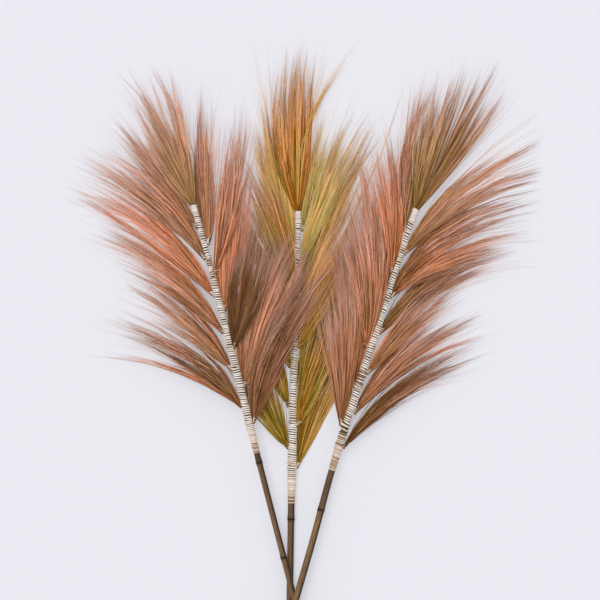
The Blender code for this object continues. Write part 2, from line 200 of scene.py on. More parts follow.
RIGHT = Spray(
    name="right",
    slot="russet_grass",
    plan=[(-29, -100), (35, 121), (74, 264), (134, 454), (184, 608), (226, 740), (248, 800)],
    radius=6.7,
    crossing=31.8,
    nodes=[183, -5],
    foot=262,
    head=780,
    gaps=[341, 348, 355, 730],
    worn=[(264, 290), (298, 350), (418, 470)],
    warm=0.65,
    shoot=0.42,
    rich=(1.26, 0.97),
    loose_dye=0.1,
    top=Bunch(780, 20, 20.5, 318, 42, 25, 0.17, full=1.3, lean=0.25, tone=-0.14,
              loose=[(44, 37, 316), (43, 36.4, 308), (10, 9.5, 290), (8, 9, 312), (6, 8.4, 304)]),
    left=[
        Bunch(740, 1, 10, 306, 28, 4, 0.32, full=1.15, tone=-0.04, loose=[(-4, 9.8, 345)]),
        Bunch(658, 3, -4.5, 284, 30, 7, 0.88, full=1.1, tone=-0.06),
        Bunch(586, 4, -3.5, 340, 30, 9, 0.8, full=1.15, tone=0.04),
        Bunch(508, 5, -4, 320, 31, 10, 0.74, full=1.2, tone=0.06),
        Bunch(430, 6, -3, 340, 28, 9, 0.68, full=1.2, tone=0.06),
        Bunch(354, 6.5, -1, 350, 27, 8, 0.62, full=1.2, tone=0.1),
    ],
    right=[
        Bunch(698, 37, 56, 360, 23, 17, 0.36, full=0.9, tone=0.2),
        Bunch(613, 36, 62.5, 370, 32, 16, 0.62, tone=-0.06),
        Bunch(542, 38, 56.5, 314, 19, 8, 0.4, tone=-0.12),
        Bunch(462, 33, 43, 262, 21, 7, 0.46, tone=-0.06,
              loose=[(44, 54, 330), (42, 50, 320), (40, 47, 310)]),
        Bunch(383, 33, 51, 300, 22, 15, 0.56, full=0.95,
              loose=[(44, 61.5, 358), (44, 61, 346), (43, 61.2, 350), (43, 60.5, 338),
                     (42, 59.5, 330)]),
        Bunch(315, 35, 52, 336, 15, 7, 0.4, full=0.95, tone=-0.6,
              loose=[(39, 58.5, 364), (39, 58, 358), (39, 57.6, 352), (40, 57, 345), (40, 56, 335),
                     (38, 56.5, 342)]),
    ],
)
SPRAYS = {spray.name: spray for spray in (LEFT, MIDDLE, RIGHT)}

# Wisps of a bunch
SIDE_WISPS = 7
TOP_WISPS = 10
SIDE_SHORTER = 0.16  # how much shorter than its middle a fan is at its sides
SIDE_CURVE = 1.5  # power with which it gets shorter towards them
FAN_JITTER = 0.6  # unevenness of the steps between wisps
WISP_BEND = 2.2  # spread of the wisps' bends, in degrees
ROOT_BEND = 0.4  # share of its bend that a wisp leans the other way at its root
WISP_LENGTHS = (0.82, 1.15)  # least and most, beside the bunch's own length
WISP_SIZES = (0.35, 1.6)  # least and most, beside an even share of the locks
WISP_HALF = 3.5  # spread of a wisp's locks about its middle, at its widest
WISP_LIFT = 5.0  # how far a wisp may stand above or below the middle of its lane
LOOSE_SIZE = 0.12
LOOSE_LOCKS = 2  # locks in a loose wisp
LOOSE_FADE = 0.72  # share of the way to a faded tip that a loose wisp goes

# Locks of a wisp and stalks of a lock. Turns are spreads of the heading, in degrees, and ends are
# places along the wisp.
LOCK_TURN = 0.7
ROOT_TURN = 0.5  # share of its turn that a stalk has at its root
LOCK_HALF = 0.55  # spread of a lock's stalks
LOCK_RISE = 1.6  # spread of a wisp's locks above and below its middle
SHORTEST_LOCK = 0.4
LOCK_ENDS = 1.85  # power that gives most locks of a wisp a short end and few a long one
LOOSE_ENDS = (0.5, 1)
FREE_SHARE = 0.13  # share of locks that keep to no wisp
FREE_TURN = 3.2
FREE_HALF = 0.7  # how wide they lie, beside the locks that keep to their wisp
STALK_TURN = 0.35
STALK_RISE = 0.7
STALK_ENDS = (0.9, 1.08)  # beside the end of the lock
STALK_GIRTHS = (0.75, 1.2)
STRAY_TURN = 4.4
STRAY_ENDS = (0.88, 1.1)
STRAY_GIRTH = 0.6

# One stalk
STALK_RINGS = ((0.0, 0.8), (0.17, 1.0), (0.44, 0.9), (0.73, 0.66))  # place, thickness
STALK_LENGTH = 0.3  # usual length in metres
ROOT_BUNDLE = 0.9  # spread of the tied stalks in the knot
ROOT_SINK = 7.0  # how far the stalks begin behind the mouth of their knot
ROOT_TIED = 5  # power with which the tied stalks spread out beyond it
REACH_PAST = (26.0, 36.0)  # how far past the frame's box a stalk may run in x and in y

# Dyes and tones
WISP_DYE = 0.09  # spreads on the scale of dyes
LOCK_DYE = 0.14
STALK_DYE = 0.1
USUAL_TONE = 0.48
LOCK_TONE = 0.25  # spreads of the tone
STALK_TONE = 0.22
STRAY_TONE = 0.15  # how much brighter a stray is
LOOSE_TONE = 0.85  # usual tone of a loose wisp
LOOSE_EVEN = 0.4  # how much of its other differences in tone it keeps
PAINTED_TOP_LIGHT = 0.24  # painted light and shade, as if lit from the far end of the layout: how much brighter a bunch is painted for each step (two lines down) that it lies beyond the place on the next line
PAINTED_TOP_LIGHT_FROM = 560
PAINTED_TOP_LIGHT_STEP = 500
TIP_TONE = 1.22  # brightness that all stalks come near to at their tips
PALE_SHARE = 0.09  # share of bleached stalks
BLEACH = 0.42  # how much nearer to its faded tip a bleached stalk looks

# Wound reed
REED_STEPS = 14  # straight runs in one turn
REED_SECTION = ((-0.5, 0.0), (-0.5, 0.55), (-0.28, 0.95), (0.28, 0.95), (0.5, 0.55), (0.5, 0.0))
REED_WIDTHS = (0.84, 1.16)  # least and most, beside the usual width
REED_OFF_FLOOR = 0.1  # gap that is left under reed that the floor presses up
REED_TILT = 0.8  # how far a turn may lean along the cane
TIGHT_FOOT = 58.0  # lengths of the tight windings at both ends of a binding
TIGHT_HEAD = 22.0
GAP_HALF = 3.0
GAP_WIDER = 2.1  # how much further apart the turns are at a gap
REED_PROUD = 0.7  # how far the reed stands out of the frame's binding
FOOT_PROUD = 0.75  # how far it stands out of the cane at its foot
FOOT_LENGTH = 75.0  # length over which it grows from the one to the other
WORN_BLUR = 6.0  # length over which a worn stretch begins and ends
FIBRE_ALONG = 0.05  # fibre marks in a millimetre of reed
FIBRE_ACROSS = 1.6
FIBRE_START = 900  # most of the reed's length that is passed over before a strip begins
TURNS_DRAWN = 300  # turns with a width and a tone of their own

# Knots: the turns round the root of a bunch, the two slanting turns round the cane, and the tail
KNOT_REACH = (-5.0, 6.0)
KNOT_PITCH = 2.4
KNOT_REED = (2.1, 0.9)  # width, thickness
KNOT_RADIUS = 2.1
KNOT_TAPER = 0.05
KNOT_TONES = (0, 0.4)
KNOT_STARTS = (0, 6)  # angles at which a knot may begin
SLANT_REACH = (-6.0, 5.0)
SLANT_PITCH = 12.0
SLANT_REED = (1.9, 0.9)
SLANT_SINK = 0.6
SLANT_APART = 2.2  # angle between the two slanting turns
TAIL_LENGTHS = (3, 13)
TAIL_ANGLES = (10, 100)
TAIL_POINTS = 6
TAIL_WIDTHS = (1.4, 0.4)
TAIL_THICKNESS = 0.5
TAIL_CURL = 3
TAIL_LIFT = 2.2
TAIL_RISE = 1.2

# Cane
CANE_STEPS = 26
CANE_RINGS = 34
SHARP_EDGE = 50  # degrees from which an edge stays sharp
PATH_STEP = 8.0
CUT_SHAPE = ((0.0, 7.0), (0.42, 7.0), (0.5, 1.2), (0.9, 0.0), (1.0, 0.8))  # share, height from end
CUT_LENGTH = 12.0
HOLLOW_DEPTH = 7.5
HOLLOW_SHARE = 0.93  # share of the cut end that shows pith
NODE_SHAPE = (  # height from the node, share of the cane's radius
    (-9, 1.0), (-4, 1.06), (-1.5, 1.17), (-0.4, 1.19), (0.4, 1.02), (1.4, 1.13), (3.5, 1.11), (9, 1.02)
)
NODE_CLEAR = 14.0  # length beside a node that has no rings but its own
NODE_STAIN = 3.4  # length of the dark stain beside a node
SHOOT_EDGE = 3.0
PAINTED_SIDE_SHADE = 0.86  # how dark the painted shade down one side is
PAINTED_SIDE_SHADE_EDGE = 1.4
GRAIN_ALONG = 0.012  # grain marks in a millimetre of cane

# Stage
FLOOR_SIZE = 30
SENSOR = 36
SKY = (0.97, 0.97, 1.0, 1)
SKY_STRENGTH = 0.74
LAMP_STRENGTH = 1.05
LAMP_ANGLE = 34  # degrees, wide so that its shadows are soft
LAMP_LEAN = (-9, -15)  # degrees about x and y


def linear(code):
    """Linear colour of a hex code as it is seen on a screen."""
    shares = [int(code[i : i + 2], 16) / 255 for i in (0, 2, 4)]
    return tuple(c / 12.92 if c <= 0.04045 else ((c + 0.055) / 1.055) ** 2.4 for c in shares)


def colour_prop(name, description, code):
    return FloatVectorProperty(
        name=name, description=description, subtype="COLOR", min=0, max=1, default=linear(code)
    )


def length_prop(name, description, millimetres):
    return FloatProperty(
        name=name, description=description, subtype="DISTANCE", unit="LENGTH", min=0,
        default=millimetres * MM,
    )


class GrassSettings(bpy.types.PropertyGroup):
    side_locks: IntProperty(
        name="Locks", description="Locks in a bunch at the side", default=285, min=8
    )
    top_locks: IntProperty(
        name="Top locks", description="Locks in a bunch at the top", default=365, min=8
    )
    lock_stalks: IntProperty(name="Stalks", description="Stalks in a lock", default=3, min=1)
    stalk_radius: length_prop("Stalk radius", "Half the width of a stalk near its root", 0.76)
    stray_share: FloatProperty(
        name="Strays", description="Share of stalks that bend out of their wisp", subtype="FACTOR",
        default=0.07, min=0, max=1,
    )
    olive: colour_prop("Olive", "First dye of the outer sprays", "ae8d5b")
    brown: colour_prop("Brown", "Second dye of the outer sprays", "b5865f")
    mauve: colour_prop("Mauve", "Third dye of the outer sprays", "b7856b")
    rust: colour_prop("Rust", "Fourth dye of the outer sprays", "cc8a60")
    coral: colour_prop("Coral", "Last dye of the outer sprays", "e29672")
    blush: colour_prop("Blush", "Faded tips of the outer sprays", "eac4b2")
    moss: colour_prop("Moss", "First dye of the middle spray", "aa9a4e")
    lime: colour_prop("Lime", "Second dye of the middle spray", "c2aa56")
    gold: colour_prop("Gold", "Third dye of the middle spray", "d4a048")
    amber: colour_prop("Amber", "Fourth dye of the middle spray", "d28c3a")
    sienna: colour_prop("Sienna", "Last dye of the middle spray", "ca7a3c")
    straw: colour_prop("Straw", "Faded tips of the middle spray", "e8c598")


class ReedSettings(bpy.types.PropertyGroup):
    width: length_prop("Width", "Width of the split reed", 2.9)
    thickness: length_prop("Thickness", "Thickness of the split reed", 1.5)
    open_pitch: length_prop("Open pitch", "Length of one turn where the cane shows between turns", 4.5)
    tight_pitch: length_prop("Tight pitch", "Length of one turn where turns lie close", 3.15)
    cream: colour_prop("Cream", "Palest reed", "fbf4e9")
    tan: colour_prop("Tan", "Tanned reed", "d0ab86")
    umber: colour_prop("Umber", "Reed that is worn brown", "755544")


class CaneSettings(bpy.types.PropertyGroup):
    bark: colour_prop("Bark", "Main colour of the cane", "5a422c")
    streak: colour_prop("Streak", "Paler streaks of the cane", "b48c54")
    # the ring colour is also used for the painted shade down one side of each cane
    ring: colour_prop("Ring", "Dark rings at the nodes", "211813")
    pith: colour_prop("Pith", "Cut end of the cane", "b59a72")


class StageSettings(bpy.types.PropertyGroup):
    floor: colour_prop("Floor", "Pale floor under the bundle", "e9e9ef")
    glow: FloatProperty(
        name="Glow", description="Share of the floor's light that comes from below", subtype="FACTOR",
        default=0.4, min=0, max=1,
    )
    camera_height: length_prop("Camera height", "Height of the camera above the floor", 4000.0)
    picture_width: length_prop("Picture width", "Width of floor that the picture shows", 1200.0)
    picture_x: FloatProperty(
        name="Picture x", description="Middle of the picture across the layout", default=10.0
    )
    picture_y: FloatProperty(
        name="Picture y", description="Middle of the picture along the layout", default=600.0
    )


# Layout


def smoothstep(value):
    share = np.clip(value, 0.0, 1.0)
    return share * share * (3 - 2 * share)


def heading_vector(degrees):
    angle = np.radians(degrees)
    return np.stack([np.sin(angle), np.cos(angle), np.zeros_like(angle)], -1)


def unit(vectors):
    return vectors / np.maximum(np.linalg.norm(vectors, axis=-1, keepdims=True), 1e-9)


def beside(ahead):
    """The directions to the right of a line and above it, for each direction ahead."""
    aside = unit(np.cross(ahead, (0.0, 0.0, 1.0)))
    return aside, np.cross(aside, ahead)


def lengths_along(line):
    """Length of a line up to each of its points."""
    return np.concatenate([[0], np.cumsum(np.linalg.norm(np.diff(line, axis=0), axis=1))])


def plan_x(plan, y):
    """x of the smooth curve through the plan's points, for one y or for many."""
    xs, ys = np.array(plan, float).T
    y = np.clip(y, ys[0], ys[-1])
    last = len(ys) - 1
    at = np.clip(np.searchsorted(ys, y, side="right") - 1, 0, last - 1)
    before = np.maximum(at - 1, 0)
    beyond = np.minimum(at + 2, last)
    step = ys[at + 1] - ys[at]
    slope = (xs[at + 1] - xs[before]) / (ys[at + 1] - ys[before]) * step
    next_slope = (xs[beyond] - xs[at]) / (ys[beyond] - ys[at]) * step
    t = (y - ys[at]) / step
    rise = (xs[at + 1] - xs[at]) * smoothstep(t)
    return xs[at] + rise + slope * (t**3 - 2 * t**2 + t) + next_slope * (t**3 - t**2)


def level(spray, x, y):
    """Height of the middle of a spray. The outer sprays ride over the middle one."""
    if spray.name == "middle":
        return np.full(np.shape(x), MIDDLE_LEVEL)
    apart = x - plan_x(MIDDLE.plan, np.minimum(y, MIDDLE.head))
    reach = np.where(apart < 0, PILE_LEFT, PILE_RIGHT)
    width = reach * smoothstep((y - PILE_FOOT) / PILE_LENGTHENS)
    return OUTER_LEVEL + MIDDLE_PILE * (1 - smoothstep((np.abs(apart) - width) / PILE_SLOPE))


def spine(spray, y):
    """Points of the cane's centre line."""
    y = np.asarray(y, float)
    x = plan_x(spray.plan, y)
    rise = smoothstep((y - CROSSING_END) / CROSSING_RISE)
    z = spray.crossing + (level(spray, x, y) - spray.crossing) * rise
    return np.stack([x, y, z], -1)


def cane_radius(spray, y):
    share = smoothstep((y - spray.foot) / (spray.head - spray.foot))
    return spray.radius * (1 + (CANE_TOP_SHARE - 1) * share)


def binding_radius(spray, y):
    share = (y - spray.foot) / (spray.head - spray.foot)
    wall = WALL_FOOT + (WALL_HEAD - WALL_FOOT) * share
    foot = smoothstep((y - spray.foot) / FOOT_TAPER)
    return cane_radius(spray, y) + WALL_EDGE + (wall - WALL_EDGE) * foot


def root_axis(spray, bunch, side, lane):
    """Where a bunch enters its knot, and the direction of its root."""
    at = spine(spray, bunch.y)
    if side == 0:
        return at + (0, 0, TOP_ROOT_RISE), unit(at - spine(spray, bunch.y - HEADING_STEP))
    along = unit(spine(spray, bunch.y + HEADING_STEP) - spine(spray, bunch.y - HEADING_STEP))
    out = unit(np.array([along[1], -along[0], 0.0])) * side
    clear = cane_radius(spray, bunch.y) + KNOT_CLEARANCE
    return at + out * clear + (0, 0, lane * LANE_ROOT), heading_vector(float(bunch.start))


def bunches_of(spray):
    """Every bunch of a spray with its node's name, its side and its lane."""
    listed = [(f"{spray.name}_tuft_top", spray.top, 0, 1)]
    for side, label, bunches in ((-1, "left", spray.left), (1, "right", spray.right)):
        for i, bunch in enumerate(bunches):
            lane = -1 if i % 2 == 0 else 1
            listed.append((f"{spray.name}_tuft_{label}_{i + 1}", bunch, side, lane))
    return listed


def draw_for(name):
    """Random numbers that are the same for a name each time."""
    return np.random.default_rng([SEED, zlib.crc32(name.encode())])


def to_frame(points):
    """Layout points in millimetres as points of the frame in metres."""
    return (points - (*BUNDLE_MIDDLE, 0.0)) * MM


# Meshes


def deselect():
    if bpy.context.object and bpy.context.object.mode != "OBJECT":
        bpy.ops.object.mode_set(mode="OBJECT")
    bpy.ops.object.select_all(action="DESELECT")


def make_active(piece):
    deselect()
    piece.select_set(True)
    bpy.context.view_layer.objects.active = piece


def add_values(mesh, values):
    """An attribute for each named value, with a number or a vector for every point of the mesh."""
    for key, numbers in values.items():
        kind, field = ("FLOAT", "value") if numbers.ndim == 1 else ("FLOAT_VECTOR", "vector")
        layer = mesh.attributes.new(key, kind, "POINT")
        layer.data.foreach_set(field, numbers.ravel().astype(np.float32))


def mesh_piece(name, points, faces, values):
    """A smooth piece from frame points and faces, with its values for the material."""
    mesh = bpy.data.meshes.new(name)
    mesh.from_pydata(points.tolist(), [], faces)
    add_values(mesh, values)
    mesh.shade_smooth()
    piece = bpy.data.objects.new(name, mesh)
    bpy.context.scene.collection.objects.link(piece)
    return piece


def stalk_pattern():
    """One stalk, extruded ring by ring from a triangle to a point: its vertices and its faces."""
    deselect()
    bpy.ops.mesh.primitive_circle_add(vertices=3, radius=1, fill_type="NGON")
    stalk = bpy.context.object
    bpy.ops.object.mode_set(mode="EDIT")
    bpy.ops.mesh.select_all(action="SELECT")
    bpy.ops.transform.resize(value=(STALK_RINGS[0][1],) * 2 + (1,), center_override=(0, 0, 0))
    for (low, thick), (high, thin) in zip(STALK_RINGS, STALK_RINGS[1:]):
        bpy.ops.mesh.extrude_region_move(TRANSFORM_OT_translate={"value": (0, 0, high - low)})
        bpy.ops.transform.resize(value=(thin / thick,) * 2 + (1,), center_override=(0, 0, high))
    bpy.ops.mesh.extrude_region_move(TRANSFORM_OT_translate={"value": (0, 0, 1 - STALK_RINGS[-1][0])})
    bpy.ops.mesh.merge(type="CENTER")
    bpy.ops.mesh.select_all(action="SELECT")
    bpy.ops.mesh.normals_make_consistent(inside=False)
    bpy.ops.object.mode_set(mode="OBJECT")
    vertices = np.array([vertex.co for vertex in stalk.data.vertices])
    faces = [list(polygon.vertices) for polygon in stalk.data.polygons]
    bpy.data.objects.remove(stalk)
    return vertices, faces


def lens(t):
    """Width of a wisp along its length: none at its root, most near its middle, none at its end."""
    t = np.clip(t, 0, 1)
    return 2.1 * t**0.7 * (1 - t)


class Stalks:
    """The stalks of one bunch: wisps that fan out, locks in each wisp, and stalks in each lock."""

    def __init__(self, name, spray, bunch, side, lane, settings):
        self.draw = draw_for(name)
        self.spray, self.bunch, self.lane = spray, bunch, lane
        root, ahead = root_axis(spray, bunch, side, lane)
        self.root = root - ahead * ROOT_SINK
        locks = round((settings.top_locks if side == 0 else settings.side_locks) * bunch.full)
        count = locks * settings.lock_stalks
        wisps = TOP_WISPS if side == 0 else SIDE_WISPS
        self.set_wisps(wisps)
        self.share_out(wisps, locks, count, settings)
        self.set_dyes(locks, count)

    def set_wisps(self, wisps):
        """Headings at root and tip, length, size and lift of every wisp, the loose ones last."""
        draw, bunch = self.draw, self.bunch
        loose = np.reshape(bunch.loose, (-1, 3)).T
        fan = np.linspace(-1, 1, wisps) + draw.normal(0, FAN_JITTER / wisps, wisps)
        bend = draw.normal(0, WISP_BEND, wisps)
        first = bunch.start + fan * bunch.base / 2 - ROOT_BEND * bend
        last = bunch.heading + fan * bunch.fan / 2 + bend
        aside = np.clip(np.abs(fan), 0, 1)
        reach = bunch.reach * (1 + bunch.lean * fan) * (1 - SIDE_SHORTER * aside**SIDE_CURVE)
        self.wisp_first = np.append(first, loose[0])
        self.wisp_last = np.append(last, loose[1])
        self.wisp_reach = np.append(reach * draw.uniform(*WISP_LENGTHS, wisps), loose[2])
        loose_sizes = np.full(len(loose[0]), LOOSE_SIZE)
        self.wisp_size = np.append(draw.uniform(*WISP_SIZES, wisps), loose_sizes)
        self.wisp_lift = WISP_LIFT * draw.uniform(-1, 1, len(self.wisp_last))

    def share_out(self, wisps, locks, count, settings):
        """Gives every lock a wisp, and every stalk its line, its end and its place beside that line."""
        draw, sizes = self.draw, self.wisp_size[:wisps]
        wisp = draw.choice(wisps, locks, p=sizes / sizes.sum())
        extra = np.repeat(np.arange(wisps, len(self.wisp_last)), LOOSE_LOCKS)
        wisp[locks - len(extra) :] = extra
        self.wisp, self.lock = wisp, np.arange(count) % locks
        own, lock = wisp[self.lock], self.lock
        free = (draw.random(locks) < FREE_SHARE) & (wisp < wisps)
        stray = (draw.random(count) < settings.stray_share) & (own < wisps)
        turn = (draw.normal(0, LOCK_TURN, locks) + free * draw.normal(0, FREE_TURN, locks))[lock]
        turn = turn + draw.normal(0, STALK_TURN, count) + stray * draw.normal(0, STRAY_TURN, count)
        last = self.wisp_last[own] + turn
        self.first = heading_vector(self.wisp_first[own] + turn * ROOT_TURN)
        self.last, self.across = heading_vector(last), heading_vector(last + 90)
        self.reach = self.wisp_reach[own]
        wisp_end = SHORTEST_LOCK + (1 - SHORTEST_LOCK) * draw.random(locks) ** LOCK_ENDS
        lock_end = np.where(wisp < wisps, wisp_end, draw.uniform(*LOOSE_ENDS, locks))
        end = np.minimum(lock_end[lock] * draw.uniform(*STALK_ENDS, count), 1.0)
        self.end = np.where(stray, draw.uniform(*STRAY_ENDS, count), end)
        half = WISP_HALF * np.sqrt(self.wisp_size[wisp]) * np.where(free, FREE_HALF, 1)
        self.aside = (half * draw.normal(0, 1, locks))[lock] + LOCK_HALF * draw.normal(0, 1, count)
        self.above = LOCK_RISE * draw.normal(0, 1, locks)[lock] + STALK_RISE * draw.normal(0, 1, count)
        self.bundle = ROOT_BUNDLE * draw.normal(0, 1, (2, count))
        self.lift = self.wisp_lift[own]
        self.stray = stray
        self.fade = np.where(own < wisps, 1.0, LOOSE_FADE)

    def set_dyes(self, locks, count):
        """Gives every stalk its place on the scale of dyes, its tone and its radius."""
        draw = self.draw
        bunch, loose = self.bunch, self.fade < 1
        dye = draw.normal(0, WISP_DYE, len(self.wisp_last))[self.wisp] + draw.normal(0, LOCK_DYE, locks)
        dye = bunch.dye + dye[self.lock] + draw.normal(0, STALK_DYE, count)
        self.dye = dye + self.spray.loose_dye * loose
        tone = draw.normal(USUAL_TONE, LOCK_TONE, locks)[self.lock] + draw.normal(0, STALK_TONE, count)
        self.bleach = BLEACH * (draw.random(count) < PALE_SHARE)
        # painted light and shade: a bunch further along the layout is painted brighter, one nearer the
        # cut ends darker
        tone = tone + bunch.tone + PAINTED_TOP_LIGHT * (bunch.y - PAINTED_TOP_LIGHT_FROM) / PAINTED_TOP_LIGHT_STEP
        tone = np.where(loose, LOOSE_TONE + LOOSE_EVEN * (tone - 0.5), tone)
        self.tone = np.where(self.stray, tone + STRAY_TONE, tone)
        self.girth = draw.uniform(*STALK_GIRTHS, count) * np.where(self.stray, STRAY_GIRTH, 1.0)

    def flat_line(self, t):
        """Points at the places t along each stalk, all at the height of the root."""
        t = t[..., None]
        reach = self.reach[:, None, None]
        first, last = self.first[:, None], self.last[:, None]
        return self.root + first * (t * (1 - t) * reach) + last * (t**2 * reach)

    def keep_in(self):
        """Shortens the stalks that would run too far past the frame's box."""
        tips = (self.flat_line(self.end[:, None])[:, 0] - (*BUNDLE_MIDDLE, 0)) * MM
        low, high = np.array(CAD_BOX)[:, :2]
        past = np.array(REACH_PAST) * MM
        middle, half = (low + high) / 2, (high - low) / 2
        over = (np.abs(tips[:, :2] - middle) - half) / past
        worst = over.max(1)
        self.end = self.end * np.where(worst > 1, 1 - (worst - 1) * past.min() / STALK_LENGTH, 1)

    def lines(self):
        """Centre lines of all stalks, and the places of their points, 0 at root and 1 at wisp's end."""
        self.keep_in()
        t = stalk_stations() * self.end[:, None]
        lines = self.flat_line(t)
        swell = lens(t)
        tied = (1 - np.minimum(t, 1.0)) ** ROOT_TIED
        aside = self.aside[:, None] * swell + self.bundle[0][:, None] * tied
        above = self.above[:, None] * swell + self.bundle[1][:, None] * tied
        lines = lines + self.across[:, None] * aside[..., None]
        low = self.spray.name == "middle" and self.lane < 0
        lane_mid = self.lane * (LOW_LANE_MID if low else LANE_MID)
        target = level(self.spray, lines[..., 0], lines[..., 1]) + lane_mid + self.lift[:, None]
        rise = (target - self.root[2]) * smoothstep(t / SETTLE)
        lines[..., 2] = self.root[2] + rise + above
        return lines, t


def stalk_stations():
    return np.array([place for place, _ in STALK_RINGS] + [1.0])


def grass_piece(name, spray, bunch, side, lane, settings, pattern):
    """All stalks of one bunch, each a copy of the one stalk that is bent along its own line."""
    stalks = Stalks(name, spray, bunch, side, lane, settings)
    lines, t = stalks.lines()
    count = len(lines)
    radius = settings.stalk_radius / MM * stalks.girth
    lines[..., 2] = np.maximum(lines[..., 2], radius[:, None])
    aside, above = beside(unit(np.gradient(lines, axis=1)))
    vertices, faces = pattern
    at = np.abs(vertices[:, 2:3] - stalk_stations()).argmin(1)
    spin = stalks.draw.uniform(0, 2 * np.pi, count)[:, None]
    u = vertices[:, 0] * np.cos(spin) - vertices[:, 1] * np.sin(spin)
    v = vertices[:, 0] * np.sin(spin) + vertices[:, 1] * np.cos(spin)
    girth = radius[:, None, None]
    points = lines[:, at] + girth * (u[..., None] * aside[:, at] + v[..., None] * above[:, at])
    corners = len(vertices)
    all_faces = [[k + i * corners for k in face] for i in range(count) for face in faces]
    values = {
        "along": np.minimum(t * stalks.fade[:, None] + stalks.bleach[:, None], 1)[:, at].ravel(),
        "dye": np.repeat(stalks.dye, corners),
        "tone": np.repeat(stalks.tone, corners),
    }
    return mesh_piece(name + "_stalks", to_frame(points.reshape(-1, 3)), all_faces, values)


# Wound reed


def strip(centres, outward, width, thickness):
    """Vertices and faces of a domed reed strip that runs along the centres, face up to outward."""
    ahead = unit(np.gradient(centres, axis=0))
    across = unit(np.cross(ahead, outward))
    section = np.array(REED_SECTION)
    width = np.broadcast_to(width, len(centres))[:, None, None]
    points = centres[:, None] + across[:, None] * section[:, 0:1] * width
    points = points + outward[:, None] * (section[:, 1:2] * thickness)
    sides, runs = len(section), len(centres) - 1
    faces = []
    for run in range(runs):
        for k in range(sides):
            a, b = run * sides + k, run * sides + (k + 1) % sides
            faces.append([a, b, b + sides, a + sides])
    faces.append(list(range(sides))[::-1])
    faces.append([runs * sides + k for k in range(sides)])
    return points.reshape(-1, 3), faces


class Reed:
    """Collects the strips of one binding, with the values that its material reads."""

    def __init__(self, name):
        self.draw = draw_for(name)
        self.turns = self.draw.random(TURNS_DRAWN)
        self.points, self.faces, self.turn, self.edge, self.fibre = [], [], [], [], []
        self.count = 0

    def add(self, centres, outward, width, thickness, turn):
        centres[:, 2] = np.maximum(centres[:, 2], thickness + REED_OFF_FLOOR)
        points, faces = strip(centres, outward, width, thickness)
        across = np.tile([a for a, _ in REED_SECTION], len(centres)) * 2
        start = self.draw.uniform(0, FIBRE_START)
        length = np.repeat(lengths_along(centres) + start, len(REED_SECTION))
        self.faces += [[k + self.count for k in face] for face in faces]
        self.points.append(points)
        self.count += len(points)
        self.turn.append(np.repeat(np.broadcast_to(turn, len(centres)), len(REED_SECTION)))
        self.edge.append(across)
        marks = [length * FIBRE_ALONG, across * FIBRE_ACROSS, np.zeros(len(across))]
        self.fibre.append(np.stack(marks, -1))

    def wind(self, axis, radius, start, stop, pitch, width, thickness, turn_tone, phase=0.0, tilt=0.0):
        """Winds a strip about an axis: axis(s) gives points for lengths s, radius(s) their distance.

        The pitch and the tilt of the turns wander slowly, as in winding by hand.
        """
        s, angle = start, phase
        places, angles = [], []
        while s < stop:
            places.append(s)
            angles.append(angle)
            uneven = 0.3 * math.sin(0.31 * angle) * math.sin(0.117 * angle + 1)
            s += pitch(s) * (1 + uneven) / REED_STEPS
            angle += 2 * math.pi / REED_STEPS
        places, angles = np.array(places), np.array(angles)
        lean = np.cos(angles + 1.7 * np.sin(0.037 * angles) + 2.3 * np.sin(0.011 * angles))
        places = places + tilt * lean * (0.6 + 0.4 * np.sin(0.075 * angles))
        centre = axis(places)
        even = axis(np.linspace(start, stop, len(places)))
        aside, above = beside(unit(np.gradient(even, axis=0)))
        outward = np.cos(angles)[:, None] * aside + np.sin(angles)[:, None] * above
        line = centre + outward * radius(places)[:, None]
        whole = np.floor((angles + np.pi / 2) / (2 * np.pi)).astype(int) % len(self.turns)
        least, most = REED_WIDTHS
        width = width * (least + (most - least) * np.roll(self.turns, 7)[whole])
        self.add(line, outward, width, thickness, turn_tone(self.turns[whole], places))

    def piece(self, name):
        values = {
            "turn": np.concatenate(self.turn),
            "edge": np.concatenate(self.edge),
            "fibre": np.concatenate(self.fibre),
        }
        return mesh_piece(name, to_frame(np.concatenate(self.points)), self.faces, values)


def reed_piece(spray, settings):
    """The binding of one spray: its windings, and a knot with a tail at every bunch."""
    name = spray.name + "_binding"
    reed = Reed(name)
    width, thickness = settings.width / MM, settings.thickness / MM

    def pitch(y):
        tight = y < spray.foot + TIGHT_FOOT or y > spray.head - TIGHT_HEAD
        wide = any(abs(y - gap) < GAP_HALF for gap in spray.gaps)
        length = settings.tight_pitch if tight else settings.open_pitch
        return length / MM * (GAP_WIDER if wide else 1)

    def turn_tone(turns, places):
        worn = sum(
            smoothstep((places - low) / WORN_BLUR) * smoothstep((high - places) / WORN_BLUR)
            for low, high in spray.worn
        )
        foot = 1 - smoothstep((places - spray.foot) / (1.5 * TIGHT_FOOT))
        return 0.24 * turns**2 + 0.2 * foot + worn * (0.12 + 0.55 * turns**1.5)

    def axis(y):
        return spine(spray, y)

    def radius(y):
        lumps = 0.3 * np.sin(0.21 * y) * np.sin(0.057 * y + 2)
        full = binding_radius(spray, np.minimum(y, spray.head)) + REED_PROUD + lumps
        slim = cane_radius(spray, y) + FOOT_PROUD
        return slim + (full - slim) * smoothstep((y - spray.foot) / FOOT_LENGTH) - thickness

    start, stop = spray.foot + width / 2, spray.head + 1
    reed.wind(axis, radius, start, stop, pitch, width, thickness, turn_tone, tilt=REED_TILT)
    for _, bunch, side, lane in bunches_of(spray):
        if side:
            add_knot(reed, spray, bunch, side, lane)
    return reed.piece(name + "_reed")


